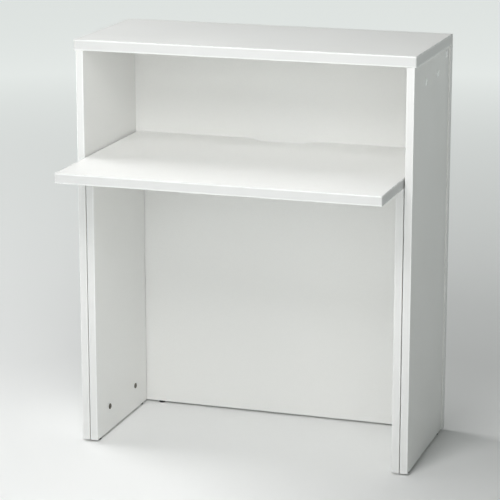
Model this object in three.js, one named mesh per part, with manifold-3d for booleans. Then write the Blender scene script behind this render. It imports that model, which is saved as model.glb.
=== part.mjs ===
// Checkout counter: a knock-down counter of white faced board, with a high top, a deep work shelf,
// paired side panels, a full rear panel and screw-in levelling feet.
// Millimetres. X runs across the counter, -Y is the staff side, +Y the customer side, +Z is up.
// The origin is on the floor, at the middle of the overall width and depth.
import * as THREE from 'three';
import { mergeVertices } from 'three/addons/utils/BufferGeometryUtils.js';
import Module from 'manifold-3d';

const wasm = await Module();
wasm.setup();

// ---- driving dimensions ---------------------------------------------------------------------
const WIDTH = 900;
const DEPTH = 600;
const HEIGHT = 1080;
const TOP_DEPTH = 395;
const TOP_THICKNESS = 28;
const PANEL_THICKNESS = 20;
const SHELF_TOP = 775;
const SHELF_THICKNESS = 26;
const SIDE_INSET = 5;           // outer side panels, in from the ends of the top board
const FRONT_SETBACK = 3;        // side panels, back from the front edge of the top board
const PANEL_GAP = 2.5;          // between an outer side panel and its inner side panel
const JOINT_GAP = 0.5;          // between the rear panel and the edges that meet it
const SHELF_PLAY = 3.2;         // between a shelf end and an outer side panel
const INNER_REAR_GAP = 3;       // between an inner side panel and the rear panel
const FLOOR_GAP = 6;            // panels stand this far off the floor, on their feet
const BAND_THICKNESS = 2;       // plastic edge band

// Cable cut-out in the rear edge of the shelf.
const NOTCH_MOUTH = 182;
const NOTCH_BOTTOM = 124;
const NOTCH_DEPTH = 36;
const NOTCH_RADIUS = 12;

// Levelling feet, with M6 studs in threaded inserts.
const FOOT_RADIUS = 8.5;
const FOOT_CHAMFER = 1;
const FOOT_INSET = 28;          // from the front and rear ends of a side panel
const REAR_FOOT_X = 360;
const STUD_RADIUS = 3;
const STUD_LENGTH = 22;
const STUD_HOLE_DEPTH = 26;
const INSERT_RADIUS = 5;
const INSERT_LENGTH = 13;
const THREAD_CLEARANCE = 0.4;
const DRILL_CLEARANCE = 0.5;
const SEAT_GAP = 0.25;          // between a fitting and the face it sits against

// Cam fasteners that pull the side panels to the top board and the rear panel.
const CAM_RADIUS = 7.2;
const CAM_POCKET_DEPTH = 15;
const CAM_RECESS = 0.75;
const CAM_THICKNESS = 13.5;
const CAM_SOCKET_RADIUS = 3.2;
const CAM_SOCKET_DEPTH = 3;
const CAM_BOLT_RADIUS = 3.2;
const CAM_BOLT_BITE = 11;       // how far a cam bolt is screwed into the board that it holds
const CAM_BOLT_PAST_AXIS = 2;
const CAM_BOLT_AXIS_DEPTH = 9;  // its axis, in from the panel's outer face
const TOP_CAM_DROP = 54;        // cam axis below the top board
const REAR_CAM_DROP = 18;
const REAR_CAM_INSET = 31;      // cam axis in front of the rear panel
const TOP_CAM_FRONT_Y = 30.5;
const TOP_CAM_MIDDLE_Y = 158;

// Cover caps over the cams.
const CAP_RADIUS = 10;
const CAP_HEIGHT = 1.75;
const CAP_STEM_RADIUS = 2.75;
const CAP_STEM_LENGTH = 3;

// Connector bolts through the inner side panels into sleeve nuts in the outer ones.
const CONNECTOR_HEAD_RADIUS = 7.5;
const CONNECTOR_HEAD_HEIGHT = 2.5;
const CONNECTOR_SOCKET_RADIUS = 2.4;
const CONNECTOR_SOCKET_DEPTH = 2;
const CONNECTOR_LENGTH = 33;
const CONNECTOR_INSET = 90;     // from the front and rear ends of a side panel
const CONNECTOR_RISE = 67.5;    // above the panel's lower end
const SLEEVE_HOLE_DEPTH = 15;

// Wooden dowels between the inner side panels and the shelf.
const DOWEL_RADIUS = 4;
const DOWEL_LENGTH = 28;
const DOWEL_IN_SHELF = 10.5;
const DOWEL_INSET = 60;

const ROUND_STEPS = 16;        // sides of a round piece that shows
const HIDDEN_STEPS = 12;       // sides of a hidden round piece or drilled hole
const DOME_STEPS = 3;

// ---- places worked out from them ------------------------------------------------------------
const HALF_WIDTH = WIDTH / 2;
const REAR_Y = DEPTH / 2;
const SHELF_FRONT_Y = -DEPTH / 2;
const TOP_FRONT_Y = REAR_Y - TOP_DEPTH;
const TOP_UNDERSIDE = HEIGHT - TOP_THICKNESS;
const SHELF_UNDERSIDE = SHELF_TOP - SHELF_THICKNESS;
const REAR_PANEL_FRONT_Y = REAR_Y - PANEL_THICKNESS;
const SIDE_FRONT_Y = TOP_FRONT_Y + FRONT_SETBACK;
const SIDE_REAR_Y = REAR_PANEL_FRONT_Y - JOINT_GAP;
const INNER_REAR_Y = REAR_PANEL_FRONT_Y - INNER_REAR_GAP;
const OUTER_FACE_X = HALF_WIDTH - SIDE_INSET;
const OUTER_INSIDE_X = OUTER_FACE_X - PANEL_THICKNESS;
const INNER_OUTSIDE_X = OUTER_INSIDE_X - PANEL_GAP;
const INNER_FACE_X = INNER_OUTSIDE_X - PANEL_THICKNESS;
const OUTER_MIDDLE_X = (OUTER_FACE_X + OUTER_INSIDE_X) / 2;
const INNER_MIDDLE_X = (INNER_OUTSIDE_X + INNER_FACE_X) / 2;
const SHELF_END_X = OUTER_INSIDE_X - SHELF_PLAY;
const CAM_BOLT_X = OUTER_FACE_X - CAM_BOLT_AXIS_DEPTH;
const CONNECTOR_Z = FLOOR_GAP + CONNECTOR_RISE;
const SIDES = [['left', -1], ['right', 1]];

// Front and rear places along a side panel, the same distance in from both of its ends.
function frontAndRear(inset) {
  return [['front', SIDE_FRONT_Y + inset], ['rear', SIDE_REAR_Y - inset]];
}

// Each cam's place along a side panel, its height and the direction that its bolt leaves it in.
const CAMS = [
  { place: 'front', y: TOP_CAM_FRONT_Y, z: TOP_UNDERSIDE - TOP_CAM_DROP, pulls: 'z', reach: TOP_CAM_DROP },
  { place: 'middle', y: TOP_CAM_MIDDLE_Y, z: TOP_UNDERSIDE - TOP_CAM_DROP, pulls: 'z', reach: TOP_CAM_DROP },
  {
    place: 'rear',
    y: REAR_PANEL_FRONT_Y - REAR_CAM_INSET,
    z: TOP_UNDERSIDE - REAR_CAM_DROP,
    pulls: 'y',
    reach: REAR_CAM_INSET,
  },
];

// Feet: a name and a place for each.
const FEET = [];
for (const [side, sign] of SIDES) {
  for (const [end, y] of frontAndRear(FOOT_INSET)) {
    FEET.push({ name: `outer_${side}_${end}`, x: sign * OUTER_MIDDLE_X, y });
    FEET.push({ name: `inner_${side}_${end}`, x: sign * INNER_MIDDLE_X, y });
  }
  FEET.push({ name: `rear_${side}`, x: sign * REAR_FOOT_X, y: REAR_Y - PANEL_THICKNESS / 2 });
}

// ---- materials ------------------------------------------------------------------------------
function finish(color, roughness, metalness) {
  return new THREE.MeshStandardMaterial({ color, roughness, metalness });
}

const MATERIALS = {
  board: () => finish(0xececea, 0.45, 0),
  band: () => finish(0xf0f0ee, 0.4, 0),
  blackPlastic: () => finish(0x121212, 0.5, 0),
  capPlastic: () => finish(0xe2e6e5, 0.35, 0),
  zinc: () => finish(0xb9bbbd, 0.4, 1),
  steel: () => finish(0x9a9c9f, 0.35, 1),
  bronzedSteel: () => finish(0x6a665c, 0.4, 1),
  beech: () => finish(0xd8b98a, 0.7, 0),
};

// ---- solids ---------------------------------------------------------------------------------
function solidOf(geometry) {
  const bare = geometry.clone();
  bare.deleteAttribute('normal');
  bare.deleteAttribute('uv');
  const merged = mergeVertices(bare, 1e-4);
  return new wasm.Manifold(new wasm.Mesh({
    numProp: 3,
    vertProperties: new Float32Array(merged.attributes.position.array),
    triVerts: new Uint32Array(merged.index.array),
  }));
}

function geometryOf(solid) {
  const mesh = solid.getMesh();
  const geometry = new THREE.BufferGeometry();
  geometry.setAttribute('position', new THREE.BufferAttribute(mesh.vertProperties, 3));
  geometry.setIndex(new THREE.BufferAttribute(mesh.triVerts, 1));
  geometry.computeVertexNormals();
  return geometry;
}

// A box between two opposite corners.
function block(low, high) {
  const size = high.map((value, axis) => value - low[axis]);
  const middle = high.map((value, axis) => (value + low[axis]) / 2);
  return new THREE.BoxGeometry(...size).translate(...middle);
}

// A round rod of length `length`, centred on `middle`, along x, y or z.
function rod(axis, radius, length, middle, steps = HIDDEN_STEPS) {
  const geometry = new THREE.CylinderGeometry(radius, radius, length, steps);
  if (axis === 'x') geometry.rotateZ(Math.PI / 2);
  if (axis === 'z') geometry.rotateX(Math.PI / 2);
  return geometry.translate(...middle);
}

function cut(geometry, holes) {
  let solid = solidOf(geometry);
  for (const hole of holes) solid = solid.subtract(solidOf(hole));
  return geometryOf(solid);
}

// A turned piece: [radius, height] points, with its axis along +Z.
function turned(profile, steps = ROUND_STEPS) {
  const points = profile.map(([radius, height]) => new THREE.Vector2(radius, height));
  return new THREE.LatheGeometry(points, steps).rotateX(Math.PI / 2);
}

// ---- holes drilled in the boards ------------------------------------------------------------
function insertHole(x, y) {
  const middle = [x, y, FLOOR_GAP + STUD_HOLE_DEPTH / 2];
  return rod('z', INSERT_RADIUS + DRILL_CLEARANCE, STUD_HOLE_DEPTH, middle);
}

function insertHoles(prefix) {
  return FEET.filter((foot) => foot.name.startsWith(prefix)).map((foot) => insertHole(foot.x, foot.y));
}

function camPocket(sign, cam) {
  const middle = [sign * (OUTER_FACE_X - CAM_POCKET_DEPTH / 2), cam.y, cam.z];
  return rod('x', CAM_RADIUS + DRILL_CLEARANCE, CAM_POCKET_DEPTH, middle);
}

// The middle and length of a rod that runs from `before` the cam's axis to `beyond` the panel's edge.
function alongCamBolt(sign, cam, before, beyond) {
  const length = before + cam.reach + beyond;
  const offset = (cam.reach + beyond - before) / 2;
  const y = cam.pulls === 'y' ? cam.y + offset : cam.y;
  const z = cam.pulls === 'z' ? cam.z + offset : cam.z;
  return { length, middle: [sign * CAM_BOLT_X, y, z] };
}

function camBoltHole(sign, cam) {
  const { length, middle } = alongCamBolt(sign, cam, 0, CAM_BOLT_BITE + 1);
  return rod(cam.pulls, CAM_BOLT_RADIUS + DRILL_CLEARANCE, length, middle);
}

function camBoltHoles(pulls) {
  return SIDES.flatMap(([, sign]) => CAMS.filter((cam) => cam.pulls === pulls)
    .map((cam) => camBoltHole(sign, cam)));
}

function connectorHole(sign, y) {
  const middle = [sign * INNER_MIDDLE_X, y, CONNECTOR_Z];
  return rod('x', STUD_RADIUS + DRILL_CLEARANCE, PANEL_THICKNESS + 2, middle);
}

function sleeveHole(sign, y) {
  const middle = [sign * (OUTER_INSIDE_X + SLEEVE_HOLE_DEPTH / 2), y, CONNECTOR_Z];
  return rod('x', INSERT_RADIUS + DRILL_CLEARANCE, SLEEVE_HOLE_DEPTH, middle);
}

// One drilling serves both boards that a dowel joins.
function dowelHole(sign, y) {
  const middle = [sign * INNER_MIDDLE_X, y, dowelMiddleZ()];
  return rod('z', DOWEL_RADIUS + THREAD_CLEARANCE, DOWEL_LENGTH + 1, middle);
}

function dowelMiddleZ() {
  return SHELF_UNDERSIDE + DOWEL_IN_SHELF - DOWEL_LENGTH / 2;
}

// ---- boards and their edge bands ------------------------------------------------------------
function topBoard() {
  const low = [-HALF_WIDTH + BAND_THICKNESS, TOP_FRONT_Y + BAND_THICKNESS, TOP_UNDERSIDE];
  const high = [HALF_WIDTH - BAND_THICKNESS, REAR_Y - BAND_THICKNESS, HEIGHT];
  return cut(block(low, high), camBoltHoles('z'));
}

function topEdgeBand() {
  const ring = new THREE.Shape();
  ring.moveTo(-HALF_WIDTH, TOP_FRONT_Y);
  ring.lineTo(HALF_WIDTH, TOP_FRONT_Y);
  ring.lineTo(HALF_WIDTH, REAR_Y);
  ring.lineTo(-HALF_WIDTH, REAR_Y);
  ring.closePath();
  const opening = new THREE.Path();
  opening.moveTo(-HALF_WIDTH + BAND_THICKNESS, TOP_FRONT_Y + BAND_THICKNESS);
  opening.lineTo(-HALF_WIDTH + BAND_THICKNESS, REAR_Y - BAND_THICKNESS);
  opening.lineTo(HALF_WIDTH - BAND_THICKNESS, REAR_Y - BAND_THICKNESS);
  opening.lineTo(HALF_WIDTH - BAND_THICKNESS, TOP_FRONT_Y + BAND_THICKNESS);
  opening.closePath();
  ring.holes.push(opening);
  const band = new THREE.ExtrudeGeometry(ring, { depth: TOP_THICKNESS, bevelEnabled: false });
  return band.translate(0, 0, TOP_UNDERSIDE);
}

function rearPanel() {
  const low = [-HALF_WIDTH, REAR_PANEL_FRONT_Y, FLOOR_GAP];
  const high = [HALF_WIDTH, REAR_Y, TOP_UNDERSIDE];
  return cut(block(low, high), [...camBoltHoles('y'), ...insertHoles('rear')]);
}

function outerSidePanel(side, sign) {
  const faces = [sign * OUTER_INSIDE_X, sign * OUTER_FACE_X].sort((a, b) => a - b);
  const low = [faces[0], SIDE_FRONT_Y, FLOOR_GAP];
  const high = [faces[1], SIDE_REAR_Y, TOP_UNDERSIDE];
  const holes = insertHoles(`outer_${side}`);
  for (const cam of CAMS) holes.push(camPocket(sign, cam), camBoltHole(sign, cam));
  for (const [, y] of frontAndRear(CONNECTOR_INSET)) holes.push(sleeveHole(sign, y));
  return cut(block(low, high), holes);
}

function innerSidePanel(side, sign) {
  const faces = [sign * INNER_FACE_X, sign * INNER_OUTSIDE_X].sort((a, b) => a - b);
  const low = [faces[0], SIDE_FRONT_Y, FLOOR_GAP];
  const high = [faces[1], INNER_REAR_Y, SHELF_UNDERSIDE];
  const holes = insertHoles(`inner_${side}`);
  for (const [, y] of frontAndRear(CONNECTOR_INSET)) holes.push(connectorHole(sign, y));
  for (const [, y] of frontAndRear(DOWEL_INSET)) holes.push(dowelHole(sign, y));
  return cut(block(low, high), holes);
}

// Shelf outline seen from above, with the cable cut-out's inner corners rounded.
function shelfOutline() {
  const endX = SHELF_END_X - BAND_THICKNESS;
  const mouth = NOTCH_MOUTH / 2;
  const bottom = NOTCH_BOTTOM / 2;
  const notchY = SIDE_REAR_Y - NOTCH_DEPTH;
  const slope = new THREE.Vector2(mouth - bottom, NOTCH_DEPTH).setLength(NOTCH_RADIUS);
  const outline = new THREE.Shape();
  outline.moveTo(-endX, SHELF_FRONT_Y + BAND_THICKNESS);
  outline.lineTo(endX, SHELF_FRONT_Y + BAND_THICKNESS);
  outline.lineTo(endX, SIDE_REAR_Y);
  outline.lineTo(mouth, SIDE_REAR_Y);
  outline.lineTo(bottom + slope.x, notchY + slope.y);
  outline.quadraticCurveTo(bottom, notchY, bottom - NOTCH_RADIUS, notchY);
  outline.lineTo(-bottom + NOTCH_RADIUS, notchY);
  outline.quadraticCurveTo(-bottom, notchY, -bottom - slope.x, notchY + slope.y);
  outline.lineTo(-mouth, SIDE_REAR_Y);
  outline.lineTo(-endX, SIDE_REAR_Y);
  outline.closePath();
  return outline;
}

function workShelf() {
  const options = { depth: SHELF_THICKNESS, bevelEnabled: false, curveSegments: 6 };
  const board = new THREE.ExtrudeGeometry(shelfOutline(), options).translate(0, 0, SHELF_UNDERSIDE);
  const holes = SIDES.flatMap(([, sign]) => frontAndRear(DOWEL_INSET).map(([, y]) => dowelHole(sign, y)));
  return cut(board, holes);
}

// One strip round the front and both ends of the shelf.
function shelfEdgeBand() {
  const insideX = SHELF_END_X - BAND_THICKNESS;
  const strip = new THREE.Shape();
  strip.moveTo(-SHELF_END_X, SHELF_FRONT_Y);
  strip.lineTo(SHELF_END_X, SHELF_FRONT_Y);
  strip.lineTo(SHELF_END_X, SIDE_REAR_Y);
  strip.lineTo(insideX, SIDE_REAR_Y);
  strip.lineTo(insideX, SHELF_FRONT_Y + BAND_THICKNESS);
  strip.lineTo(-insideX, SHELF_FRONT_Y + BAND_THICKNESS);
  strip.lineTo(-insideX, SIDE_REAR_Y);
  strip.lineTo(-SHELF_END_X, SIDE_REAR_Y);
  strip.closePath();
  const band = new THREE.ExtrudeGeometry(strip, { depth: SHELF_THICKNESS, bevelEnabled: false });
  return band.translate(0, 0, SHELF_UNDERSIDE);
}

// ---- fittings, each on its own axis ---------------------------------------------------------
// Levelling foot: a round pad with its stud, the pad's sole at height 0.
function levellingFoot() {
  const padTop = FLOOR_GAP - SEAT_GAP;
  return turned([
    [0, 0],
    [FOOT_RADIUS - FOOT_CHAMFER, 0],
    [FOOT_RADIUS, FOOT_CHAMFER],
    [FOOT_RADIUS, padTop - FOOT_CHAMFER],
    [FOOT_RADIUS - FOOT_CHAMFER, padTop],
    [STUD_RADIUS, padTop],
    [STUD_RADIUS, padTop + STUD_LENGTH],
    [0, padTop + STUD_LENGTH],
  ]);
}

// Threaded insert or sleeve nut: a bush from height 0 up.
function threadedBush() {
  const bore = STUD_RADIUS + THREAD_CLEARANCE;
  return turned([
    [bore, 0],
    [INSERT_RADIUS, 0],
    [INSERT_RADIUS, INSERT_LENGTH],
    [bore, INSERT_LENGTH],
    [bore, 0],
  ], HIDDEN_STEPS);
}

// Cover cap: a low dome whose rim is at height 0, with its stem below.
function coverCap() {
  const rim = CAP_HEIGHT / 3;
  const dome = new THREE.QuadraticBezierCurve(
    new THREE.Vector2(CAP_RADIUS, rim),
    new THREE.Vector2(CAP_RADIUS * 0.85, CAP_HEIGHT),
    new THREE.Vector2(0, CAP_HEIGHT),
  );
  const domePoints = dome.getPoints(DOME_STEPS).map((point) => [Math.max(point.x, 0), point.y]);
  return turned([
    [0, -CAP_STEM_LENGTH],
    [CAP_STEM_RADIUS, -CAP_STEM_LENGTH],
    [CAP_STEM_RADIUS, 0],
    [CAP_RADIUS, 0],
    ...domePoints,
  ]);
}

// Connector bolt: a flat head from height 0 up, its shank below and a hexagon socket in the head.
function connectorBolt() {
  const rim = CONNECTOR_HEAD_HEIGHT / 2;
  const body = turned([
    [0, -CONNECTOR_LENGTH],
    [STUD_RADIUS, -CONNECTOR_LENGTH],
    [STUD_RADIUS, 0],
    [CONNECTOR_HEAD_RADIUS, 0],
    [CONNECTOR_HEAD_RADIUS, rim],
    [CONNECTOR_HEAD_RADIUS - rim, CONNECTOR_HEAD_HEIGHT],
    [0, CONNECTOR_HEAD_HEIGHT],
  ]);
  const socketMiddle = [0, 0, CONNECTOR_HEAD_HEIGHT];
  return cut(body, [rod('z', CONNECTOR_SOCKET_RADIUS, CONNECTOR_SOCKET_DEPTH * 2, socketMiddle, 6)]);
}

// Cam: a round drum with a driver socket in its outer face and a bore that takes its bolt's head.
function camFastener(sign, cam) {
  const outerX = OUTER_FACE_X - CAM_RECESS;
  const drum = rod('x', CAM_RADIUS, CAM_THICKNESS, [sign * (outerX - CAM_THICKNESS / 2), cam.y, cam.z]);
  const socket = rod('x', CAM_SOCKET_RADIUS, CAM_SOCKET_DEPTH * 2, [sign * outerX, cam.y, cam.z]);
  const { length, middle } = alongCamBolt(sign, cam, CAM_BOLT_PAST_AXIS + 1, 0);
  const bore = rod(cam.pulls, CAM_BOLT_RADIUS + THREAD_CLEARANCE, length, middle);
  return cut(drum, [socket, bore]);
}

function camBolt(sign, cam) {
  const { length, middle } = alongCamBolt(sign, cam, CAM_BOLT_PAST_AXIS, CAM_BOLT_BITE);
  return rod(cam.pulls, CAM_BOLT_RADIUS, length, middle);
}

// ---- the assembly ---------------------------------------------------------------------------
function named(name, geometry, material) {
  const mesh = new THREE.Mesh(geometry, material());
  mesh.name = name;
  return mesh;
}

function boards() {
  const group = new THREE.Group();
  group.add(named('top_board', topBoard(), MATERIALS.board));
  group.add(named('top_edge_band', topEdgeBand(), MATERIALS.band));
  group.add(named('rear_panel', rearPanel(), MATERIALS.board));
  group.add(named('work_shelf', workShelf(), MATERIALS.board));
  group.add(named('shelf_edge_band', shelfEdgeBand(), MATERIALS.band));
  for (const [side, sign] of SIDES) {
    group.add(named(`outer_side_panel_${side}`, outerSidePanel(side, sign), MATERIALS.board));
    group.add(named(`inner_side_panel_${side}`, innerSidePanel(side, sign), MATERIALS.board));
  }
  return group;
}

function feetAndInserts() {
  const group = new THREE.Group();
  for (const { name, x, y } of FEET) {
    const foot = named(`foot_${name}`, levellingFoot(), MATERIALS.blackPlastic);
    foot.position.set(x, y, 0);
    const insert = named(`insert_${name}`, threadedBush(), MATERIALS.steel);
    insert.position.set(x, y, FLOOR_GAP + SEAT_GAP);
    group.add(foot, insert);
  }
  return group;
}

// A turned fitting laid along X, its height axis pointing outwards (1) or inwards (-1) at `side`.
function laidAlongX(mesh, direction, x, y, z) {
  mesh.rotation.y = direction * Math.PI / 2;
  mesh.position.set(x, y, z);
  return mesh;
}

function camJoints() {
  const group = new THREE.Group();
  for (const [side, sign] of SIDES) {
    for (const cam of CAMS) {
      const label = `${side}_${cam.place}`;
      const cap = named(`cover_cap_${label}`, coverCap(), MATERIALS.capPlastic);
      group.add(laidAlongX(cap, sign, sign * (OUTER_FACE_X + SEAT_GAP), cam.y, cam.z));
      group.add(named(`cam_${label}`, camFastener(sign, cam), MATERIALS.zinc));
      group.add(named(`cam_bolt_${label}`, camBolt(sign, cam), MATERIALS.steel));
    }
  }
  return group;
}

function panelConnectors() {
  const group = new THREE.Group();
  for (const [side, sign] of SIDES) {
    for (const [end, y] of frontAndRear(CONNECTOR_INSET)) {
      const bolt = named(`connector_bolt_${side}_${end}`, connectorBolt(), MATERIALS.bronzedSteel);
      group.add(laidAlongX(bolt, -sign, sign * (INNER_FACE_X - SEAT_GAP), y, CONNECTOR_Z));
      const nut = named(`sleeve_nut_${side}_${end}`, threadedBush(), MATERIALS.zinc);
      group.add(laidAlongX(nut, sign, sign * (OUTER_INSIDE_X + SEAT_GAP), y, CONNECTOR_Z));
    }
  }
  return group;
}

function shelfDowels() {
  const group = new THREE.Group();
  for (const [side, sign] of SIDES) {
    for (const [end, y] of frontAndRear(DOWEL_INSET)) {
      const dowel = named(`shelf_dowel_${side}_${end}`, rod('z', DOWEL_RADIUS, DOWEL_LENGTH, [0, 0, 0]),
        MATERIALS.beech);
      dowel.position.set(sign * INNER_MIDDLE_X, y, dowelMiddleZ());
      group.add(dowel);
    }
  }
  return group;
}

const counter = new THREE.Group();
counter.add(boards(), feetAndInserts(), camJoints(), panelConnectors(), shelfDowels());

export default counter;
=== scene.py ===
import math

import bmesh
import bpy
from mathutils import Matrix, Vector


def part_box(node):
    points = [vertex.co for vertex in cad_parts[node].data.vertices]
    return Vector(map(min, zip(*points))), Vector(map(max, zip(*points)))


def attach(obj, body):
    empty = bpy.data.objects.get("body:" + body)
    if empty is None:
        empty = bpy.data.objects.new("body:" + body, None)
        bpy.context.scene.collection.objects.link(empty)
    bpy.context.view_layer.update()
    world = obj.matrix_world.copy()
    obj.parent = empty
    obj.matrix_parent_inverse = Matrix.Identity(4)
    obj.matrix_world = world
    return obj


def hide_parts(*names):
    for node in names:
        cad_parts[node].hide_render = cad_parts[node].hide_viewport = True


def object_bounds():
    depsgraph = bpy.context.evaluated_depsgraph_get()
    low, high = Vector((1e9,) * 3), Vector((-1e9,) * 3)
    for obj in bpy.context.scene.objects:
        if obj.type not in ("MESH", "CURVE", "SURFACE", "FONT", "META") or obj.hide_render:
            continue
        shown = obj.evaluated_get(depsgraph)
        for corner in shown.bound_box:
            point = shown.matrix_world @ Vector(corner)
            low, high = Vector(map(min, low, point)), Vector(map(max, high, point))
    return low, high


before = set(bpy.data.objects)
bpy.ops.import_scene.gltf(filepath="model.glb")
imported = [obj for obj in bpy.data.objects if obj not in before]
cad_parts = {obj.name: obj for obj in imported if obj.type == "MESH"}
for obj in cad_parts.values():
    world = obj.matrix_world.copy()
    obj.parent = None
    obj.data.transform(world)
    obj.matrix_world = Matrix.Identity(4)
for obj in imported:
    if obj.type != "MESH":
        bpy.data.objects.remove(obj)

CAD_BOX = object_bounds()
MM = 0.001
TURN = 2 * math.pi
SHARP_ANGLE = math.radians(35)  # edges sharper than this show as edges
EDGE_SEGMENTS = 3
X, Y, Z = Vector((1, 0, 0)), Vector((0, 1, 0)), Vector((0, 0, 1))
CARCASS = "carcass"
SIDES = (("left", -1), ("right", 1))
ENDS = ("front", "rear")
CAM_PLACES = ("front", "middle", "rear")
FOOT_NAMES = sorted(name.removeprefix("foot_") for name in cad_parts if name.startswith("foot_"))

# Boards.
ARRIS = 0.5 * MM               # rounding of a board's own edges
BANDED_ARRIS = 0.3 * MM        # the same, where a band stands against the edge
BAND_ARRIS = 1.6 * MM          # rounding of the thick edge bands
BAND_CORNER = 3 * MM           # their upright corners, seen from above
THIN_BAND = 1 * MM             # edge band on the side and rear panels
THIN_BAND_ARRIS = 0.8 * MM
GLUE_LINE = 0.06 * MM          # between a band and its board
WEAR_WIDTH = 6 * MM            # how far handling wear reaches in from an edge

# Cable cut-out in the rear edge of the shelf.
NOTCH_MOUTH = 182 * MM
NOTCH_BOTTOM = 124 * MM
NOTCH_DEPTH = 36 * MM
NOTCH_RADIUS = 12 * MM
NOTCH_STEPS = 8

# Drilled holes.
DRILL_CLEARANCE = 0.5 * MM     # round a fitting
DRILL_OVERRUN = 1 * MM         # past the ends of a fitting
STUD_HOLE_OVERRUN = 4 * MM     # past the tip of a foot's stud

# Fittings.
SEAT_GAP = 0.25 * MM           # between a fitting and the face that it sits against
FACE_GAP = SEAT_GAP / 5        # the same, for a head or a cap that is pulled tight
STUD_RADIUS = 3 * MM
THREAD_PITCH = 1 * MM
THREAD_DEPTH = 0.55 * MM
THREAD_CLEARANCE = 0.4 * MM    # between a stud and the bore of its insert
COARSE_PITCH = 3 * MM          # of a cam bolt's wood thread
COARSE_DEPTH = 1 * MM
CAM_BOLT_BITE = 10 * MM        # length of that thread
CAM_OPENING_RADIUS = 3.6 * MM  # the way into a cam drum for its bolt
CAM_OPENING_DEPTH = 3 * MM     # how far it goes past the drum's middle
PAD_FLUTES = 16
PAD_FLUTE_DEPTH = 0.35 * MM
DOWEL_FLUTES = 16
DOWEL_FLUTE_DEPTH = 0.4 * MM
DOWEL_CHAMFER = 1.2 * MM
DOME_STEPS = 6                 # rings over the crown of a cover cap
BARBS = 4                      # round the outside of an insert or a sleeve nut

# Camera, from the staff side and to the right, looking down at the counter's middle.
CAMERA_AZIMUTH = 18.0
CAMERA_ELEVATION = 14.2
CAMERA_DISTANCE = 5.66
CAMERA_LENS = 158.0
CAMERA_AIM = Vector((0.0, -0.019, 0.543))

# Studio.
FLOOR_COLOUR = (0.88, 0.885, 0.88)
FLOOR_SHADE = (0.86, 0.865, 0.86)
FLOOR_RADIUS = 14.0
FLOOR_GLOW = 0.65              # the floor brightens by this from GLOW_START to GLOW_FULL
FLOOR_GLOW_DROP = 0.25         # and dims by this from GLOW_FADE to its rim, to meet the horizon
GLOW_COLOUR = (0.96, 1.0, 0.98)
GLOW_START = 1.0
GLOW_FULL = 6.0
GLOW_FADE = 9.5
WORLD_COLOUR = (0.90, 1.0, 0.95)
HORIZON_STRENGTH = 0.40
ZENITH_STRENGTH = 0.08
ZENITH_START = 0.5             # sine of the elevation at which the surrounding is at its dimmest

# Soft lights: name, azimuth, elevation, distance from the counter's middle, width, power in watts.
LIGHTS = (
    ("left", -100, 45, 4.2, 2.2, 88),
    ("left_front", -60, 15, 4.2, 2.2, 14),
    ("front_low", 0, 18, 2.6, 0.85, 9),
    ("front_high", 0, 45, 2.4, 0.85, 25),
    ("right_front", 25, 25, 4.2, 2.2, 23),
    ("overhead", 0, 88, 3.8, 2.6, 14),
)


# ---- meshes ---------------------------------------------------------------------------------
def piece_from(name, mesh_builder, material, body=CARCASS, replaces=()):
    """Makes an object of a finished bmesh, shades it, and fixes it to its body."""
    mesh = bpy.data.meshes.new(name)
    bmesh.ops.recalc_face_normals(mesh_builder, faces=mesh_builder.faces)
    mesh_builder.to_mesh(mesh)
    mesh_builder.free()
    mesh.shade_smooth()
    mesh.set_sharp_from_angle(angle=SHARP_ANGLE)
    mesh.materials.append(material)
    piece = bpy.data.objects.new(name, mesh)
    bpy.context.scene.collection.objects.link(piece)
    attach(piece, body)
    if replaces:
        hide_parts(*replaces)
    return piece


def weighted(piece):
    """Keeps large flat faces flat in shading, next to their rounded edges."""
    modifier = piece.modifiers.new("flat_faces", "WEIGHTED_NORMAL")
    modifier.keep_sharp = True
    modifier.weight = 100
    return piece


def worn_and_highlight_layer(builder):
    """The points' wear, from 0 for fresh to 1 for worn, which the materials read; on the edge bands it also
    places a painted highlight.
    """
    return builder.verts.layers.float.get("wear_and_highlight") or builder.verts.layers.float.new("wear_and_highlight")


def slab(low, high, radius=ARRIS):
    """A box with rounded edges, and a narrow margin of wear round each broad face."""
    builder = bmesh.new()
    layer = worn_and_highlight_layer(builder)
    size = high - low
    place = Matrix.Translation((low + high) / 2) @ Matrix.Diagonal(size.to_4d())
    bmesh.ops.create_cube(builder, size=1, matrix=place)
    bmesh.ops.bevel(builder, geom=builder.edges[:], offset=radius, segments=EDGE_SEGMENTS, profile=0.5,
                    affect="EDGES")
    for vert in builder.verts:
        vert[layer] = 1.0
    add_margin(builder, layer)
    return builder


def add_margin(builder, layer):
    """Insets each broad face, so that wear fades out over WEAR_WIDTH."""
    for face in [f for f in builder.faces if f.calc_area() > (10 * WEAR_WIDTH) ** 2]:
        rim = set(face.verts)
        bmesh.ops.inset_individual(builder, faces=[face], thickness=WEAR_WIDTH)
        for vert in face.verts:
            if vert not in rim:
                vert[layer] = 0.0


def outlined_slab(outline, bottom, top, radius=ARRIS):
    """A board of any outline, seen from above, with rounded top and bottom edges."""
    builder = bmesh.new()
    layer = worn_and_highlight_layer(builder)
    face = builder.faces.new([builder.verts.new((x, y, bottom)) for x, y in outline])
    raised = bmesh.ops.extrude_face_region(builder, geom=[face])
    bmesh.ops.translate(builder, vec=Z * (top - bottom),
                        verts=[g for g in raised["geom"] if isinstance(g, bmesh.types.BMVert)])
    rims = [e for e in builder.edges if abs(e.verts[0].co.z - e.verts[1].co.z) < radius]
    bmesh.ops.bevel(builder, geom=rims, offset=radius, segments=EDGE_SEGMENTS, profile=0.5,
                    affect="EDGES")
    for vert in builder.verts:
        vert[layer] = 1.0
    add_margin(builder, layer)
    return builder


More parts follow.
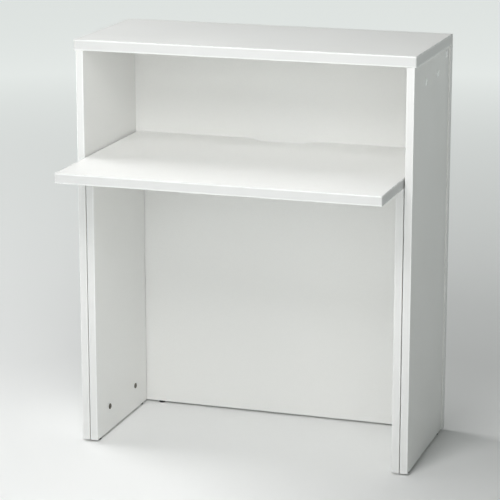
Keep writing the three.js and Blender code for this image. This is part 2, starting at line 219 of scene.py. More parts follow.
def swept(stations, profile, closed):
    """A profile carried along a path. A station is (origin, inwards, across); a profile point is
    (inset, offset across, wear and painted highlight)."""
    builder = bmesh.new()
    layer = worn_and_highlight_layer(builder)
    rows = []
    for origin, inwards, across in stations:
        row = []
        for inset, offset, wear_and_highlight in profile:
            vert = builder.verts.new(origin + inwards * inset + across * offset)
            vert[layer] = wear_and_highlight
            row.append(vert)
        rows.append(row)
    pairs = list(zip(rows, rows[1:] + rows[:1])) if closed else list(zip(rows, rows[1:]))
    for row, following in pairs:
        for i in range(len(profile)):
            j = (i + 1) % len(profile)
            builder.faces.new((row[i], row[j], following[j], following[i]))
    if not closed:
        builder.faces.new(rows[0])
        builder.faces.new(list(reversed(rows[-1])))
    return builder


def band_profile(thickness, width, radius, steps=4):
    """An edge band's section: its outer corners rounded, worn most at those corners, where its painted
    highlight lies too.
    """
    points = [(thickness, 0.0, 0.0)]
    for step in range(steps + 1):
        angle = TURN / 4 * step / steps
        points.append((radius * (1 - math.sin(angle)), radius * (1 - math.cos(angle)), 1.0))
    points.append((0.0, radius + WEAR_WIDTH / 2, 0.0))
    points.append((0.0, width - radius - WEAR_WIDTH / 2, 0.0))
    for step in range(steps + 1):
        angle = TURN / 4 * step / steps
        points.append((radius * (1 - math.cos(angle)), width - radius * (1 - math.sin(angle)), 1.0))
    points.append((thickness, width, 0.0))
    return points


def corner_stations(centre, start_angle, radius, height, steps=6):
    """Stations round an upright corner, from start_angle through a quarter turn."""
    stations = []
    for step in range(steps + 1):
        angle = math.radians(start_angle) + TURN / 4 * step / steps
        outwards = Vector((math.cos(angle), math.sin(angle), 0))
        origin = Vector((centre[0], centre[1], height)) + outwards * radius
        stations.append((origin, -outwards, Z))
    return stations


def turned(rings, place, segments=48, closed=False):
    """A turned piece. A ring is (height, radius), and its radius may be a function of the angle."""
    builder = bmesh.new()
    rows = []
    for height, radius in rings:
        if not callable(radius) and radius <= 0:
            rows.append([builder.verts.new(place @ Vector((0, 0, height)))])
            continue
        row = []
        for step in range(segments):
            angle = TURN * step / segments
            reach = radius(angle) if callable(radius) else radius
            point = Vector((reach * math.cos(angle), reach * math.sin(angle), height))
            row.append(builder.verts.new(place @ point))
        rows.append(row)
    pairs = list(zip(rows, rows[1:] + rows[:1])) if closed else list(zip(rows, rows[1:]))
    for row, following in pairs:
        join_rings(builder, row, following, segments)
    if not closed:
        for row in (rows[0], rows[-1]):
            if len(row) > 1:
                builder.faces.new(row)
    return builder


def join_rings(builder, row, following, segments):
    for i in range(segments):
        j = (i + 1) % segments
        if len(row) == 1:
            builder.faces.new((row[0], following[i], following[j]))
        elif len(following) == 1:
            builder.faces.new((row[i], row[j], following[0]))
        else:
            builder.faces.new((row[i], row[j], following[j], following[i]))


def thread_rings(start, end, radius, pitch, depth, steps_per_turn=6):
    """Rings whose radius follows a screw thread from start to end."""
    def ring_at(height):
        def reach(angle):
            phase = (height / pitch - angle / TURN) % 1.0
            ridge = min(1.0, 2.6 * abs(phase - 0.5))
            fade = min(1.0, abs(height - start) / pitch, abs(end - height) / pitch)
            return radius - depth * (1 - fade * (1 - ridge))
        return reach

    count = max(2, round(abs(end - start) / pitch * steps_per_turn))
    heights = [start + (end - start) * i / count for i in range(count + 1)]
    return [(height, ring_at(height)) for height in heights]


def fluted(radius, count, depth):
    """A radius with shallow hollows round it."""
    return lambda angle: radius - depth * (0.5 - 0.5 * math.cos(angle * count)) ** 2


def hexagonal(flat_radius):
    """The radius of a hexagon whose flats are at flat_radius."""
    sixth = TURN / 6
    return lambda angle: flat_radius / math.cos((angle % sixth) - sixth / 2)


def place_along(direction, origin):
    """A frame at origin whose height axis points along direction."""
    return Matrix.Translation(origin) @ direction.to_track_quat("Z", "Y").to_matrix().to_4x4()


def box_middle(node):
    low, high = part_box(node)
    return (low + high) / 2


def drill(piece, cutters):
    """Cuts round holes: (direction, start, length, radius) each."""
    tools = bmesh.new()
    for direction, start, length, radius in cutters:
        turn = direction.to_track_quat("Z", "Y").to_matrix().to_4x4()
        middle = Matrix.Translation(start + direction * (length / 2))
        bmesh.ops.create_cone(tools, cap_ends=True, segments=36, radius1=radius, radius2=radius,
                              depth=length, matrix=middle @ turn)
    mesh = bpy.data.meshes.new(piece.name + "_drills")
    tools.to_mesh(mesh)
    tools.free()
    tool = bpy.data.objects.new(mesh.name, mesh)
    bpy.context.scene.collection.objects.link(tool)
    modifier = piece.modifiers.new("holes", "BOOLEAN")
    modifier.operation = "DIFFERENCE"
    modifier.solver = "EXACT"
    modifier.object = tool
    bpy.context.view_layer.update()
    graph = bpy.context.evaluated_depsgraph_get()
    result = bpy.data.meshes.new_from_object(piece.evaluated_get(graph))
    piece.modifiers.remove(modifier)
    piece.data = result
    bpy.data.objects.remove(tool)
    piece.data.shade_smooth()
    piece.data.set_sharp_from_angle(angle=SHARP_ANGLE)
    return piece


# ---- materials ------------------------------------------------------------------------------
class Nodes:
    """A material's node tree, with short calls for the nodes that are used most."""

    def __init__(self, name, base, roughness, metallic=0.0):
        self.material = bpy.data.materials.new(name)
        self.material.use_nodes = True
        self.tree = self.material.node_tree
        self.shader = self.tree.nodes["Principled BSDF"]
        self.shader.inputs["Base Color"].default_value = (*base, 1)
        self.shader.inputs["Roughness"].default_value = roughness
        self.shader.inputs["Metallic"].default_value = metallic
        self.coordinates = self.tree.nodes.new("ShaderNodeTexCoord").outputs["Object"]
        self.height = None

    def add(self, kind, **settings):
        node = self.tree.nodes.new(kind)
        for key, value in settings.items():
            setattr(node, key, value)
        return node

    def link(self, source, target):
        self.tree.links.new(source, target)

    def stretched(self, scale):
        mapping = self.add("ShaderNodeMapping")
        mapping.inputs["Scale"].default_value = scale
        self.link(self.coordinates, mapping.inputs["Vector"])
        return mapping.outputs["Vector"]

    def noise(self, scale, detail=3.0, roughness=0.55, vector=None):
        node = self.add("ShaderNodeTexNoise")
        node.inputs["Scale"].default_value = scale
        node.inputs["Detail"].default_value = detail
        node.inputs["Roughness"].default_value = roughness
        self.link(vector or self.coordinates, node.inputs["Vector"])
        return node.outputs["Fac"]

    def cells(self, scale, vector=None):
        node = self.add("ShaderNodeTexVoronoi", feature="SMOOTH_F1")
        node.inputs["Scale"].default_value = scale
        self.link(vector or self.coordinates, node.inputs["Vector"])
        return node.outputs["Distance"]

    def ranged(self, source, low, high, to_low, to_high):
        node = self.add("ShaderNodeMapRange")
        self.link(source, node.inputs["Value"])
        for name, value in (("From Min", low), ("From Max", high), ("To Min", to_low),
                            ("To Max", to_high)):
            node.inputs[name].default_value = value
        return node.outputs["Result"]

    def maths(self, operation, first, second):
        node = self.add("ShaderNodeMath", operation=operation)
        for socket, value in zip(node.inputs, (first, second)):
            if isinstance(value, (int, float)):
                socket.default_value = value
            else:
                self.link(value, socket)
        return node.outputs["Value"]

    def mixed(self, share, first, second):
        """Colour between first and second; each is a colour or an output. Of the Mix node's sockets,
        inputs 6 and 7 and output 2 are the ones for colours."""
        node = self.add("ShaderNodeMix", data_type="RGBA")
        self.link(share, node.inputs["Factor"])
        for socket, value in ((node.inputs[6], first), (node.inputs[7], second)):
            if isinstance(value, tuple):
                socket.default_value = (*value, 1)
            else:
                self.link(value, socket)
        return node.outputs[2]

    def wear_and_highlight(self):
        node = self.add("ShaderNodeAttribute", attribute_name="wear_and_highlight")
        return node.outputs["Fac"]

    def colour(self, source):
        self.link(source, self.shader.inputs["Base Color"])

    def roughness(self, source):
        self.link(source, self.shader.inputs["Roughness"])

    def bump(self, source, distance, strength=1.0):
        node = self.add("ShaderNodeBump")
        node.inputs["Strength"].default_value = strength
        node.inputs["Distance"].default_value = distance
        self.link(source, node.inputs["Height"])
        if self.height is not None:
            self.link(self.height, node.inputs["Normal"])
        self.height = node.outputs["Normal"]
        self.link(self.height, self.shader.inputs["Normal"])


# Pale white that the edge bands' arrises are lightened towards: a painted highlight.
ARRIS_HIGHLIGHT_WHITE = (0.90, 0.905, 0.90)


def shade(colour, factor):
    return tuple(channel * factor for channel in colour)


def melamine(name="white_melamine", base=(0.912, 0.912, 0.898)):
    """Satin melamine facing: a fine pebbled press texture, faint cloudiness, edges rubbed smooth."""
    nodes = Nodes(name, base, 0.42)
    clouds = nodes.noise(2.3, 4.0, 0.6)
    speckle = nodes.noise(900, 2.0)
    warm = (base[0] * 0.985, base[1] * 0.98, base[2] * 0.965)
    tinted = nodes.mixed(nodes.ranged(clouds, 0.35, 0.75, 0.0, 1.0), base, warm)
    pebbles = nodes.cells(1000)
    # The pebble cells that give the bump also darken the colour: partly a print tone, partly painted shade
    # of the pebbled relief.
    pebble_print_and_shade = nodes.mixed(nodes.ranged(pebbles, 0.15, 0.65, 0.0, 1.0), tinted, shade(base, 0.955))
    flecked = nodes.mixed(nodes.ranged(speckle, 0.6, 0.75, 0.0, 0.5), pebble_print_and_shade, shade(base, 0.93))
    rubbed_noise = nodes.noise(160, 4.0)
    rubbed = nodes.maths("MULTIPLY", nodes.wear_and_highlight(), nodes.ranged(rubbed_noise, 0.5, 0.72, 0.0, 1.0))
    nodes.colour(nodes.mixed(nodes.maths("MULTIPLY", rubbed, 0.5), flecked, shade(base, 0.9)))
    smudges = nodes.noise(7, 5.0, 0.65)
    satin = nodes.ranged(smudges, 0.3, 0.75, 0.36, 0.5)
    nodes.roughness(nodes.maths("SUBTRACT", satin, nodes.maths("MULTIPLY", rubbed, 0.12)))
    nodes.bump(pebbles, 0.12 * MM, 0.7)
    nodes.bump(nodes.noise(320, 3.0), 0.08 * MM, 0.45)
    nodes.bump(nodes.noise(9, 2.0), 0.25 * MM, 0.25)
    nodes.shader.inputs["Specular IOR Level"].default_value = 0.45
    return nodes.material


def edge_banding(name, along, base):
    """White plastic edge band: finely scraped along its length, rubbed shiny at the arris, and lightened
    there as a painted highlight.
    """
    nodes = Nodes(name, base, 0.36)
    scale = tuple(14.0 if axis == along else 900.0 for axis in "XYZ")
    lines = nodes.noise(1.0, 3.0, 0.6, nodes.stretched(scale))
    streaked = nodes.mixed(nodes.ranged(lines, 0.35, 0.7, 0.0, 1.0), base, shade(base, 0.975))
    patches = nodes.ranged(nodes.noise(60, 5.0, 0.7), 0.52, 0.7, 0.0, 1.0)
    scuffs = nodes.maths("MULTIPLY", nodes.wear_and_highlight(), patches)
    # Lightening the arris towards a pale white is a painted highlight, placed by the wear mask.
    nodes.colour(nodes.mixed(nodes.maths("MULTIPLY", nodes.wear_and_highlight(), 0.7), streaked, ARRIS_HIGHLIGHT_WHITE))
    polish = nodes.maths("MULTIPLY", nodes.wear_and_highlight(), 0.12)
    gloss = nodes.maths("SUBTRACT", nodes.ranged(lines, 0.3, 0.7, 0.32, 0.44), polish)
    nodes.roughness(nodes.maths("ADD", gloss, nodes.maths("MULTIPLY", scuffs, 0.15)))
    nodes.bump(lines, 0.02 * MM, 0.6)
    nodes.bump(scuffs, 0.05 * MM, 0.5)
    return nodes.material


def black_plastic():
    """Moulded black plastic, with a spark-eroded grain and paler scuffs."""
    base = (0.014, 0.014, 0.0145)
    nodes = Nodes("black_plastic", base, 0.5)
    scuffs = nodes.noise(420, 5.0, 0.7)
    nodes.colour(nodes.mixed(nodes.ranged(scuffs, 0.58, 0.78, 0.0, 0.5), base, (0.06, 0.06, 0.062)))
    nodes.roughness(nodes.ranged(scuffs, 0.3, 0.75, 0.42, 0.62))
    nodes.bump(nodes.noise(2600, 2.0), 0.03 * MM, 0.6)
    return nodes.material


def cap_plastic():
    """Glossy white moulded plastic with faint flow marks."""
    base = (0.93, 0.95, 0.945)
    nodes = Nodes("cap_plastic", base, 0.3)
    flow = nodes.noise(120, 4.0, 0.6)
    nodes.colour(nodes.mixed(nodes.ranged(flow, 0.35, 0.7, 0.0, 1.0), base, shade(base, 0.97)))
    nodes.roughness(nodes.ranged(flow, 0.3, 0.7, 0.22, 0.32))
    nodes.bump(nodes.noise(1800, 2.0), 0.015 * MM, 0.5)
    nodes.shader.inputs["Coat Weight"].default_value = 1.0
    nodes.shader.inputs["Coat Roughness"].default_value = 0.08
    return nodes.material


def metal(name, base, roughness, tint, grain=700, grain_depth=0.02 * MM):
    """Plated or cast metal: mottled in colour and gloss, with a fine grain."""
    nodes = Nodes(name, base, roughness, 1.0)
    mottle = nodes.noise(260, 4.0, 0.6)
    nodes.colour(nodes.mixed(nodes.ranged(mottle, 0.3, 0.7, 0.0, 1.0), base, tint))
    smears = nodes.noise(500, 4.0, 0.65)
    nodes.roughness(nodes.ranged(smears, 0.3, 0.75, roughness - 0.08, roughness + 0.12))
    nodes.bump(nodes.noise(grain, 3.0), grain_depth, 0.6)
    return nodes.material


def beech():
    """Unfinished beech, its grain and dark flecks along the dowel."""
    base = (0.62, 0.43, 0.26)
    nodes = Nodes("beech", base, 0.7)
    grain = nodes.noise(1.0, 5.0, 0.6, nodes.stretched((900.0, 900.0, 60.0)))
    flecks = nodes.noise(1.0, 2.0, 0.5, nodes.stretched((1800.0, 1800.0, 260.0)))
    toned = nodes.mixed(nodes.ranged(grain, 0.3, 0.7, 0.0, 1.0), base, (0.74, 0.55, 0.36))
    nodes.colour(nodes.mixed(nodes.ranged(flecks, 0.62, 0.75, 0.0, 0.7), toned, (0.36, 0.21, 0.11)))
    nodes.roughness(nodes.ranged(grain, 0.3, 0.7, 0.6, 0.8))
    nodes.bump(grain, 0.08 * MM, 0.5)
    return nodes.material


BOARD = melamine()
# The edge bands' greys are darker than the board's white: painted shade on the front-facing edges.
SHADED_THICK_BAND = edge_banding("shaded_thick_edge_band", "X", (0.668, 0.670, 0.664))
SHADED_THIN_BAND = edge_banding("shaded_thin_edge_band", "Z", (0.790, 0.790, 0.782))
BLACK = black_plastic()
CAP = cap_plastic()
STEEL = metal("zinc_plated_steel", (0.60, 0.60, 0.61), 0.32, (0.52, 0.53, 0.56))
ZINC = metal("die_cast_zinc", (0.56, 0.57, 0.58), 0.45, (0.46, 0.47, 0.49), 1500, 0.05 * MM)
BRONZED = metal("bronzed_steel", (0.20, 0.185, 0.155), 0.36, (0.13, 0.115, 0.095))
BEECH = beech()


# ---- holes that the fittings need -----------------------------------------------------------
def insert_drills(prefix):
    """Upright holes for the inserts whose names start with prefix, from a panel's lower end."""
    cutters = []
    for name in FOOT_NAMES:
        if name.startswith(prefix):
            low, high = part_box("insert_" + name)
            stud_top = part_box("foot_" + name)[1].z
            start = Vector(((low.x + high.x) / 2, (low.y + high.y) / 2, low.z - 2 * DRILL_OVERRUN))
            radius = (high.x - low.x) / 2 + DRILL_CLEARANCE
            cutters.append((Z, start, stud_top + STUD_HOLE_OVERRUN - start.z, radius))
    return cutters


def rod_drill(node, axis):
    """A hole round a fitting that lies along an axis, a little longer than it at both ends."""
    low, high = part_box(node)
    middle = (low + high) / 2
    across = [i for i in range(3) if axis[i] == 0][0]
    half = (high - low).dot(axis) / 2 + DRILL_OVERRUN
    radius = (high[across] - low[across]) / 2 + DRILL_CLEARANCE
    return (axis, middle - axis * half, 2 * half, radius)


def cam_drills(side):
    cutters = []
    for place in CAM_PLACES:
        cutters.append(rod_drill(f"cam_{side}_{place}", X))
        cutters.append(rod_drill(f"cam_bolt_{side}_{place}", cam_bolt_axis(place)))
    return cutters


def cam_bolt_axis(place):
    return Y if place == "rear" else Z


def shank_drill(side, end):
    """The hole through an inner side panel for a connector bolt's shank."""
    middle = box_middle(f"connector_bolt_{side}_{end}")
    low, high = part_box("inner_side_panel_" + side)
    start = Vector((low.x - DRILL_OVERRUN, middle.y, middle.z))
    return (X, start, high.x - low.x + 2 * DRILL_OVERRUN, STUD_RADIUS + DRILL_CLEARANCE)


# ---- boards ---------------------------------------------------------------------------------
def board(name, builder, cutters, replaces):
    """A white board of the given shape, with its holes cut."""
    piece = piece_from(name, builder, BOARD, replaces=replaces)
    if cutters:
        drill(piece, cutters)
    return weighted(piece)


def make_top():
    low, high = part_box("top_board")
    glue = Vector((GLUE_LINE, GLUE_LINE, 0))
    cutters = [rod_drill(f"cam_bolt_{side}_{place}", Z)
               for side, _ in SIDES for place in CAM_PLACES if cam_bolt_axis(place) == Z]
    board("top_board_facing", slab(low + glue, high - glue, BANDED_ARRIS), cutters, ["top_board"])
    low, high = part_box("top_edge_band")
    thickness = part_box("top_board")[0].x - low.x
    corners = ((high.x, high.y, 0), (low.x, high.y, 90), (low.x, low.y, 180), (high.x, low.y, 270))
    middle = (low + high) / 2
    stations = []
    for x, y, angle in corners:
        inwards_x = math.copysign(BAND_CORNER, middle.x - x)
        inwards_y = math.copysign(BAND_CORNER, middle.y - y)
        stations += corner_stations((x + inwards_x, y + inwards_y), angle, BAND_CORNER, low.z)
    ring = swept(stations, band_profile(thickness, high.z - low.z, BAND_ARRIS), closed=True)
    weighted(piece_from("top_band_ring", ring, SHADED_THICK_BAND, replaces=["top_edge_band"]))


def shelf_outline(low, high):
    """The shelf seen from above, with the cable cut-out in its rear edge."""
    mouth, bottom = NOTCH_MOUTH / 2, NOTCH_BOTTOM / 2
    floor_y = high.y - NOTCH_DEPTH
    slope = Vector((mouth - bottom, NOTCH_DEPTH)).normalized()
    corner = Vector((bottom, floor_y))
    start, end = corner + slope * NOTCH_RADIUS, corner - Vector((NOTCH_RADIUS, 0))
    curve = []
    for step in range(NOTCH_STEPS + 1):
        share = step / NOTCH_STEPS
        curve.append(start * (1 - share) ** 2 + corner * 2 * share * (1 - share) + end * share ** 2)
    right = [(point.x, point.y) for point in curve]
    left = [(-x, y) for x, y in reversed(right)]
    return [(low.x, low.y), (high.x, low.y), (high.x, high.y), (mouth, high.y), *right, *left,
            (-mouth, high.y), (low.x, high.y)]


def make_shelf():
    low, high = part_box("work_shelf")
    glue = Vector((GLUE_LINE, GLUE_LINE, 0))
    outline = shelf_outline(low + glue, Vector((high.x - GLUE_LINE, high.y, high.z)))
    cutters = [rod_drill(f"shelf_dowel_{side}_{end}", Z) for side, _ in SIDES for end in ENDS]
    board("work_shelf_facing", outlined_slab(outline, low.z, high.z, BANDED_ARRIS), cutters, ["work_shelf"])
    band_low, band_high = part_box("shelf_edge_band")
    thickness = low.x - band_low.x
    left = (band_low.x + BAND_CORNER, band_low.y + BAND_CORNER)
    right = (band_high.x - BAND_CORNER, band_low.y + BAND_CORNER)
    stations = [(Vector((band_low.x, band_high.y, band_low.z)), X, Z)]
    stations += corner_stations(left, 180, BAND_CORNER, band_low.z)
    stations += corner_stations(right, 270, BAND_CORNER, band_low.z)
    stations += [(Vector((band_high.x, band_high.y, band_low.z)), -X, Z)]
    strip = swept(stations, band_profile(thickness, band_high.z - band_low.z, BAND_ARRIS), closed=False)
    weighted(piece_from("shelf_band_strip", strip, SHADED_THICK_BAND, replaces=["shelf_edge_band"]))


def front_band(name, low, high):
    """The thin band on a side panel's front edge."""
    profile = band_profile(THIN_BAND - GLUE_LINE, high.x - low.x, THIN_BAND_ARRIS)
    stations = [(Vector((low.x, low.y, z)), Y, X) for z in (low.z, high.z)]
    weighted(piece_from(name, swept(stations, profile, closed=False), SHADED_THIN_BAND))


def make_side_panels(side):
    for kind, drills in (("outer", cam_drills(side)), ("inner", [])):
        node = f"{kind}_side_panel_{side}"
        low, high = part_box(node)
        cutters = drills + insert_drills(f"{kind}_{side}")
        for end in ENDS:
            if kind == "inner":
                cutters.append(shank_drill(side, end))
                cutters.append(rod_drill(f"shelf_dowel_{side}_{end}", Z))
            else:
                cutters.append(rod_drill(f"sleeve_nut_{side}_{end}", X))
        core_low = low + Y * THIN_BAND
        board(node + "_facing", slab(core_low, high), cutters, [node])
        front_band(f"{kind}_side_band_{side}", low, high)


def make_rear_panel():
    low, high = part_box("rear_panel")
    cutters = insert_drills("rear") + [rod_drill(f"cam_bolt_{side}_rear", Y) for side, _ in SIDES]
    inset = X * THIN_BAND
    board("rear_panel_facing", slab(low + inset, high - inset), cutters, ["rear_panel"])
    profile = band_profile(THIN_BAND - GLUE_LINE, high.y - low.y, THIN_BAND_ARRIS)
    for side, sign in SIDES:
        x = low.x if sign < 0 else high.x
        stations = [(Vector((x, low.y, z)), X * -sign, Y) for z in (low.z, high.z)]
        strip = swept(stations, profile, closed=False)
        weighted(piece_from(f"rear_panel_band_{side}", strip, SHADED_THIN_BAND))


# ---- fittings -------------------------------------------------------------------------------
def make_foot(name):
    """A levelling foot: a fluted pad with a moulded rim, on a threaded steel stud."""
    node, body = "foot_" + name, "foot_" + name
    low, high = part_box(node)
    radius = (high.x - low.x) / 2
    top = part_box("insert_" + name)[0].z - 2 * SEAT_GAP - low.z
    place = Matrix.Translation(Vector(((low.x + high.x) / 2, (low.y + high.y) / 2, low.z)))
    grip = fluted(radius, PAD_FLUTES, PAD_FLUTE_DEPTH)
    boss = STUD_RADIUS + 0.7 * MM
    pad = [
        (0.5 * MM, 0), (0.5 * MM, 0.45 * radius), (0, 0.55 * radius), (0, radius - 0.9 * MM),
        (0.25 * MM, radius - 0.4 * MM), (0.8 * MM, radius - 0.1 * MM), (1.2 * MM, grip),
        (top - 1.4 * MM, grip), (top - 0.9 * MM, radius - 0.15 * MM), (top - 0.5 * MM, radius - 0.6 * MM),
        (top - 0.35 * MM, radius - 1.2 * MM), (top - 0.35 * MM, boss + 1.2 * MM), (top, boss + 0.8 * MM),
        (top, 0),
    ]
    piece_from(node + ".pad", turned(pad, place, 96), BLACK, body, [node])
    tip = high.z - low.z
    stud = [(top - 0.5 * MM, 0), (top - 0.5 * MM, STUD_RADIUS), (top + 0.8 * MM, STUD_RADIUS)]
    stud += thread_rings(top + 0.8 * MM, tip - 1 * MM, STUD_RADIUS, THREAD_PITCH, THREAD_DEPTH)
    stud += [(tip, STUD_RADIUS - 1 * MM), (tip, 0)]
    piece_from(node + ".stud", turned(stud, place, 24), STEEL, body)


def bush_rings(bore, radius, length):
    """A threaded insert: a thin collar, then a barbed outside, with a countersunk bore."""
    rings = [(0.5 * MM, bore), (0, bore + 0.5 * MM), (0, radius), (1 * MM, radius)]
    step = (length - 2.5 * MM) / BARBS
    for i in range(BARBS):
        height = 1.5 * MM + i * step
        rings.append((height, radius - 0.55 * MM))
        rings += [(height + step * share, radius) for share in (0.8, 0.9)]
    rings += [(length - 0.5 * MM, radius - 0.6 * MM), (length, radius - 0.9 * MM), (length, bore)]
    return rings


def make_bush(node, direction, material):
    """A threaded insert or a sleeve nut, whose collar is at the start of its direction."""
    low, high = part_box(node)
    length = abs((high - low).dot(direction))
    across = (high.z - low.z) / 2 if direction.z == 0 else (high.x - low.x) / 2
    start = (low + high) / 2 - direction * (length / 2)
    rings = bush_rings(STUD_RADIUS + THREAD_CLEARANCE, across, length)
    builder = turned(rings, place_along(direction, start), 32, closed=True)
    piece_from(node + ".bush", builder, material, replaces=[node])


def make_cover_cap(side, sign, place_name):
    """A domed cap with a flat moulded land, a rolled rim and a ribbed stem."""
    node = f"cover_cap_{side}_{place_name}"
    low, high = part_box(node)
    radius = (high.z - low.z) / 2
    base_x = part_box("outer_side_panel_" + side)[0 if sign < 0 else 1].x + sign * FACE_GAP
    height = abs((high.x if sign > 0 else low.x) - base_x)
    stem = abs((low.x if sign > 0 else high.x) - base_x)
    origin = Vector((base_x, (low.y + high.y) / 2, (low.z + high.z) / 2))
    ribs = fluted(2.7 * MM, 8, 0.5 * MM)
    land = 1.35 * MM
    crown = radius - 2.7 * MM
    rings = [
        (-stem, 0), (-stem, 2.0 * MM), (-stem + 0.5 * MM, ribs), (-0.2 * MM, ribs), (0, 3.2 * MM),
        (0, radius - 0.4 * MM), (0.12 * MM, radius - 0.1 * MM), (0.35 * MM, radius),
        (0.7 * MM, radius - 0.1 * MM), (1.0 * MM, radius - 0.5 * MM), (1.25 * MM, radius - 1.3 * MM),
        (1.3 * MM, radius - 1.9 * MM), (1.22 * MM, radius - 2.1 * MM), (1.22 * MM, radius - 2.4 * MM),
        (land, crown),
    ]
    for step in range(1, DOME_STEPS + 1):
        share = 1 - step / DOME_STEPS
        rings.append((land + (height - land) * (1 - share ** 2), crown * share))
    builder = turned(rings, place_along(X * sign, origin), 64)
    piece_from(node + ".moulding", builder, CAP, replaces=[node])


def make_connector_bolt(side, sign, end):
    """A flat-headed joint connector bolt with a hexagon socket."""
    node = f"connector_bolt_{side}_{end}"
    low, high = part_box(node)
    radius = (high.z - low.z) / 2
    face_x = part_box("inner_side_panel_" + side)[1 if sign < 0 else 0].x - sign * FACE_GAP
    head_x = low.x if sign > 0 else high.x
    tip_x = high.x if sign > 0 else low.x
    head = abs(head_x - face_x)
    shank = abs(tip_x - face_x)
    origin = Vector((face_x, (low.y + high.y) / 2, (low.z + high.z) / 2))
    socket = hexagonal(2 * MM)
    rings = [(-shank, 0), (-shank, STUD_RADIUS - 0.9 * MM)]
    rings += thread_rings(-shank + 0.8 * MM, -12 * MM, STUD_RADIUS, THREAD_PITCH, THREAD_DEPTH)
    rings += [
        (-11.5 * MM, STUD_RADIUS - 0.1 * MM), (-0.6 * MM, STUD_RADIUS), (0, STUD_RADIUS + 0.5 * MM),
        (0, radius - 0.3 * MM), (0.3 * MM, radius), (head * 0.45, radius), (head * 0.8, radius - 0.8 * MM),
        (head * 0.95, radius - 1.5 * MM), (head, radius - 2.3 * MM), (head, 3.0 * MM),
        (head - 0.35 * MM, socket), (0.4 * MM, socket), (0.1 * MM, 1.2 * MM), (0, 0),
    ]
    builder = turned(rings, place_along(X * -sign, origin), 48)
    piece_from(node + ".bolt", builder, BRONZED, replaces=[node])


def make_cam(side, sign, place_name):
    """A cam drum: a rimmed face with a driver socket, and the opening that takes its bolt."""
    node = f"cam_{side}_{place_name}"
    low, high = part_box(node)
    radius = (high.z - low.z) / 2
    depth = high.x - low.x
    face = Vector((high.x if sign > 0 else low.x, (low.y + high.y) / 2, (low.z + high.z) / 2))
    socket = hexagonal(3 * MM)
    rings = [
        (-depth, 0), (-depth, radius - 0.6 * MM), (-depth + 0.6 * MM, radius), (-1.4 * MM, radius),
        (-1.2 * MM, radius - 0.3 * MM), (-0.9 * MM, radius), (-0.3 * MM, radius), (0, radius - 0.3 * MM),
        (0, radius - 1.2 * MM), (-0.4 * MM, radius - 1.5 * MM), (-0.4 * MM, 4.2 * MM), (0, 4.0 * MM),
        (0, 3.7 * MM), (-0.3 * MM, socket), (-3.0 * MM, socket), (-3.2 * MM, 0),
    ]
    piece = piece_from(node + ".drum", turned(rings, place_along(X * sign, face), 48), ZINC,
                       replaces=[node])
    axis = cam_bolt_axis(place_name)
    bolt = box_middle(f"cam_bolt_{side}_{place_name}")
    start = Vector((bolt.x, face.y, face.z)) - axis * CAM_OPENING_DEPTH
    length = CAM_OPENING_DEPTH + radius + DRILL_OVERRUN
    drill(piece, [(axis, start, length, CAM_OPENING_RADIUS)])


def make_cam_bolt(side, place_name):
    """A cam bolt: a ball head and neck in the cam, a plain shank, and a coarse thread in its board."""
    node = f"cam_bolt_{side}_{place_name}"
    low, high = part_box(node)
    axis = cam_bolt_axis(place_name)
    length = (high - low).dot(axis)
    radius = (high.x - low.x) / 2
    start = (low + high) / 2 - axis * (length / 2)
    thread_start = length - CAM_BOLT_BITE
    rings = [
        (0, 0), (0, radius * 0.6), (0.8 * MM, radius * 0.9), (1.8 * MM, radius), (2.8 * MM, radius * 0.9),
        (3.6 * MM, radius * 0.6), (6.5 * MM, radius * 0.6), (7.2 * MM, radius * 0.95),
        (thread_start - 2.2 * MM, radius * 0.95), (thread_start - 2 * MM, radius),
        (thread_start - 0.4 * MM, radius),
    ]
    thread_end = length - 1 * MM
    rings += thread_rings(thread_start - 0.2 * MM, thread_end, radius, COARSE_PITCH, COARSE_DEPTH, 8)
    rings += [(length, radius - 1.6 * MM), (length, 0)]
    piece_from(node + ".bolt", turned(rings, place_along(axis, start), 32), STEEL, replaces=[node])


def make_dowel(side, end):
    """A fluted wooden dowel with chamfered ends."""
    node = f"shelf_dowel_{side}_{end}"
    low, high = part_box(node)
    radius = (high.x - low.x) / 2
    length = high.z - low.z
    flutes = fluted(radius, DOWEL_FLUTES, DOWEL_FLUTE_DEPTH)
    rings = [(0, 0), (0, radius - 1.1 * MM), (DOWEL_CHAMFER, flutes)]
    rings += [(length - DOWEL_CHAMFER, flutes), (length, radius - 1.1 * MM), (length, 0)]
    base = Vector(((low.x + high.x) / 2, (low.y + high.y) / 2, low.z))
    piece_from(node + ".wood", turned(rings, place_along(Z, base), 96), BEECH, replaces=[node])


# ---- the studio -----------------------------------------------------------------------------
def make_floor():
    """A wide pale floor, which glows a little beyond the counter so that it stays pale to the horizon."""
    builder = bmesh.new()
    bmesh.ops.create_circle(builder, cap_ends=True, radius=FLOOR_RADIUS, segments=128)
    mesh = bpy.data.meshes.new("studio_floor")
    builder.to_mesh(mesh)
    builder.free()
    nodes = Nodes("studio_floor", FLOOR_COLOUR, 0.7)
    nodes.colour(nodes.mixed(nodes.noise(1.5, 3.0), FLOOR_COLOUR, FLOOR_SHADE))
    distance = nodes.add("ShaderNodeVectorMath", operation="LENGTH")
    nodes.link(nodes.coordinates, distance.inputs[0])
    rise = nodes.ranged(distance.outputs["Value"], GLOW_START, GLOW_FULL, 0.0, FLOOR_GLOW)
    drop = nodes.ranged(distance.outputs["Value"], GLOW_FADE, FLOOR_RADIUS, 0.0, FLOOR_GLOW_DROP)
    glow = nodes.maths("SUBTRACT", rise, drop)
    nodes.shader.inputs["Emission Color"].default_value = (*GLOW_COLOUR, 1)
    nodes.link(glow, nodes.shader.inputs["Emission Strength"])
    nodes.shader.inputs["Specular IOR Level"].default_value = 0.2
    mesh.materials.append(nodes.material)
    floor = bpy.data.objects.new("studio_floor", mesh)
    bpy.context.scene.collection.objects.link(floor)


def direction_of(azimuth, elevation):
    """Azimuth 0 is the staff side, 90 the right, as the views' angles are."""
    across, up = math.radians(azimuth), math.radians(elevation)
    return Vector((math.sin(across) * math.cos(up), -math.cos(across) * math.cos(up), math.sin(up)))


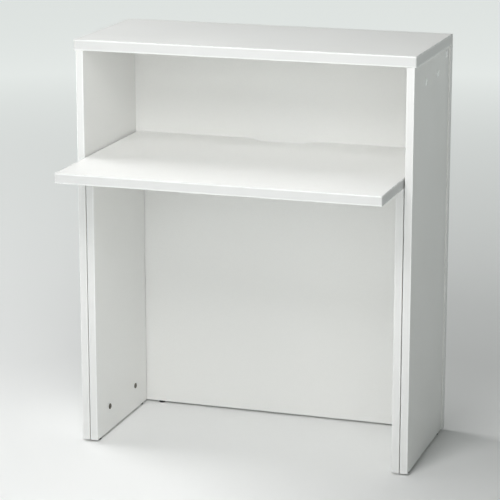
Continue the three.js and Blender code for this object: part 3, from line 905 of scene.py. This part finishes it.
def make_lights():
    aim = Vector((0, 0, (CAD_BOX[0].z + CAD_BOX[1].z) / 2))
    for name, azimuth, elevation, distance, width, power in LIGHTS:
        data = bpy.data.lights.new(name, "AREA")
        data.shape = "SQUARE"
        data.size = width
        data.energy = power
        light = bpy.data.objects.new(name, data)
        bpy.context.scene.collection.objects.link(light)
        towards = direction_of(azimuth, elevation)
        light.location = aim + towards * distance
        light.rotation_euler = towards.to_track_quat("Z", "Y").to_euler()
        light.visible_camera = False


def make_world():
    """A dim surrounding, brighter towards the horizon."""
    world = bpy.data.worlds.new("studio")
    bpy.context.scene.world = world
    world.use_nodes = True
    tree = world.node_tree
    background = tree.nodes["Background"]
    background.inputs["Color"].default_value = (*WORLD_COLOUR, 1)
    direction = tree.nodes.new("ShaderNodeTexCoord").outputs["Generated"]
    parts = tree.nodes.new("ShaderNodeSeparateXYZ")
    fade = tree.nodes.new("ShaderNodeMapRange")
    fade.inputs["From Max"].default_value = ZENITH_START
    fade.inputs["To Min"].default_value = HORIZON_STRENGTH
    fade.inputs["To Max"].default_value = ZENITH_STRENGTH
    tree.links.new(direction, parts.inputs["Vector"])
    tree.links.new(parts.outputs["Z"], fade.inputs["Value"])
    tree.links.new(fade.outputs["Result"], background.inputs["Strength"])


def make_camera():
    data = bpy.data.cameras.new("camera")
    data.lens = CAMERA_LENS
    data.sensor_width = 36
    camera = bpy.data.objects.new("camera", data)
    bpy.context.scene.collection.objects.link(camera)
    towards = direction_of(CAMERA_AZIMUTH, CAMERA_ELEVATION)
    camera.location = CAMERA_AIM + towards * CAMERA_DISTANCE
    camera.rotation_euler = towards.to_track_quat("Z", "Y").to_euler()
    bpy.context.scene.camera = camera


# ---- the counter ----------------------------------------------------------------------------
make_camera()
make_floor()
make_lights()
make_world()
bpy.context.scene.view_settings.view_transform = "Standard"
bpy.context.scene.view_settings.look = "None"

make_top()
make_shelf()
make_rear_panel()
for side, sign in SIDES:
    make_side_panels(side)
    for place_name in CAM_PLACES:
        make_cover_cap(side, sign, place_name)
        make_cam(side, sign, place_name)
        make_cam_bolt(side, place_name)
    for end in ENDS:
        make_connector_bolt(side, sign, end)
        make_bush(f"sleeve_nut_{side}_{end}", X * sign, ZINC)
        make_dowel(side, end)
for name in FOOT_NAMES:
    make_foot(name)
    make_bush("insert_" + name, Z, STEEL)
